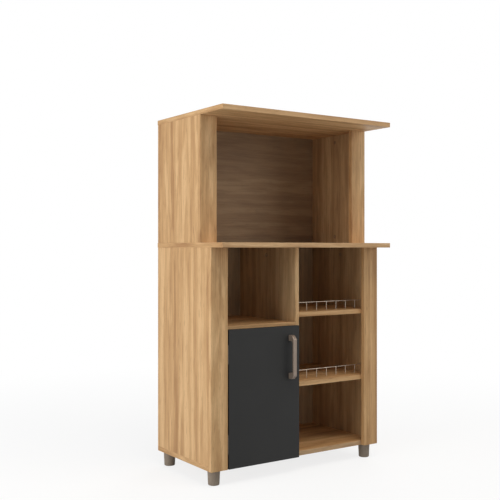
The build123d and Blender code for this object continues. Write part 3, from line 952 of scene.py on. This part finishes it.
def makeCams():
    cam = camMaster()
    piece = spread(cam, "camLocks", camPlaces())
    complete(piece, finishes["cam"], "carcass", "cam_locks")
    drop(cam)


# Wire guards

guardShape = {
    "radius": 1.1 * mm, "count": 7, "endGap": 30.5 * mm, "socket": 6 * mm,
    "weld": 1.4 * mm, "weldStretch": (1.1, 0.85, 0.8), "weldDrop": 0.7,
}


def makeGuard(level):
    # a rail on uprights, with a small weld bead below the rail at each upright
    node = "wire_guard_" + level
    low, high = corners(node)
    radius = guardShape["radius"]
    y = (low.y + high.y) / 2
    rail = high.z - radius
    start = Vector((low.x, y, rail))
    parts = [addRound("rail", start, xAxis, radius, high.x - low.x, sides=20)]
    first = low.x + guardShape["socket"] + guardShape["endGap"]
    last = high.x - guardShape["socket"] - guardShape["endGap"]
    count = guardShape["count"]
    for index in range(count):
        x = first + (last - first) * index / (count - 1)
        foot = Vector((x, y, low.z))
        parts.append(addRound("upright", foot, zAxis, radius, rail - low.z, sides=16))
        deselectAll()
        bpy.ops.mesh.primitive_uv_sphere_add(
            segments=12, ring_count=8, radius=guardShape["weld"],
            location=(x, y, rail - radius * guardShape["weldDrop"]),
            scale=guardShape["weldStretch"],
        )
        parts.append(applied(startPiece("weld")))
    guard = joined("wireGuard_" + level, parts)
    smooth(guard, angle=40)
    complete(guard, finishes["guard"], "carcass", node)


# Studio

studio = {
    "floorSize": 80,
    "floorColour": (0.54, 0.6, 0.64, 1),
    "floorGlow": 0.8,
    "fade": (0.8, 2.6),     # metres from the object, where the floor turns plain white
    "ambient": (0.2, 0.235, 0.27, 1),    # what the white surroundings shed on the object
    "key": {"place": (-3.5, -0.2, 1.2), "size": 2.6, "power": 76, "colour": (1, 0.97, 0.93)},
    "top": {"place": (-0.2, -1.3, 4.0), "size": 2.4, "power": 70, "colour": (1, 0.93, 0.83)},
    "right": {"place": (2.2, -3.1, 1.8), "size": 2.0, "power": 28, "colour": (1, 0.93, 0.83)},
    "rear": {"place": (3.0, 2.6, 2.0), "size": 2.4, "power": 55, "colour": (1, 0.97, 0.93)},
    "aim": (0, 0, 0.6),
}
camera = {
    "place": (-1.7287, -2.3806, 0.7628),
    "turn": 34.27,        # degrees from straight at the front towards the right
    "lens": 59.58,        # mm
    "sensor": 36,         # mm
    "shift": -0.0042,
}


def aimedLamp(name, values):
    data = bpy.data.lights.new(name, "AREA")
    data.shape = "SQUARE"
    data.size = values["size"]
    data.energy = values["power"]
    data.color = values["colour"]
    lamp = bpy.data.objects.new(name, data)
    lamp.location = values["place"]
    direction = Vector(studio["aim"]) - Vector(values["place"])
    lamp.rotation_euler = direction.to_track_quat("-Z", "Y").to_euler()
    bpy.context.collection.objects.link(lamp)


def makeStudio():
    scene = bpy.context.scene
    scene.view_settings.view_transform = "Standard"
    deselectAll()
    bpy.ops.mesh.primitive_plane_add(size=studio["floorSize"], location=(0, 0, 0))
    floor = startPiece("floor")
    floor.data.materials.append(floorPaper("floorPaper"))
    for name in ("key", "top", "right", "rear"):
        aimedLamp(name + "Lamp", studio[name])
    world = bpy.data.worlds.new("studioWorld")
    world.use_nodes = True
    scene.world = world
    nodes = world.node_tree.nodes
    links = world.node_tree.links
    backdrop = nodes["Background"]
    shed = nodes.new("ShaderNodeMix")
    shed.data_type = "RGBA"
    shed.inputs[6].default_value = studio["ambient"]
    shed.inputs[7].default_value = white
    links.new(seenRays(world.node_tree).socket, shed.inputs[0])
    links.new(shed.outputs[2], backdrop.inputs["Color"])


def makeCamera():
    data = bpy.data.cameras.new("photoCamera")
    data.lens = camera["lens"]
    data.sensor_width = camera["sensor"]
    data.shift_y = camera["shift"]
    eye = bpy.data.objects.new("photoCamera", data)
    eye.location = camera["place"]
    eye.rotation_euler = (math.radians(90), 0, -math.radians(camera["turn"]))
    bpy.context.collection.objects.link(eye)
    bpy.context.scene.camera = eye


finishes = {
    "foot": mouldedPlastic("taupePlastic", srgb(137, 122, 107), srgb(147, 132, 116), 0.55),
    "block": mouldedPlastic("brownPlastic", srgb(104, 76, 52), srgb(114, 85, 60), 0.5),
    "handle": handleLacquer("taupeLacquer"),
    "guard": metal("satinWire", srgb(216, 206, 193), srgb(230, 220, 207), 0.46,
                   across=900, along=900, metallic=0.65),
    "hinge": metal("darkNickel", srgb(92, 84, 76), srgb(120, 112, 103), 0.34,
                   across=700, along=60),
    "zinc": metal("zincPlate", srgb(186, 186, 182), srgb(212, 211, 204), 0.3,
                  across=400, along=400, speck=0.1),
    "cam": metal("castZinc", srgb(152, 122, 90), srgb(176, 146, 112), 0.5,
                 across=260, along=260, speck=0.12, metallic=0.4),
    "magnet": metal("steelPole", srgb(84, 84, 86), srgb(110, 110, 112), 0.4,
                    across=900, along=80),
}

makeStudio()
makeCamera()
print("studio and camera ready")
dressFrame()
print("boards and fittings dressed")
makeHandle()
makeScrews()
makeFlushScrews()
makeBackPins()
makeCams()
print("handle, screws, pins and cams modelled")
for level in ("lower", "upper"):
    makeGuard(level)
print("wire guards modelled")
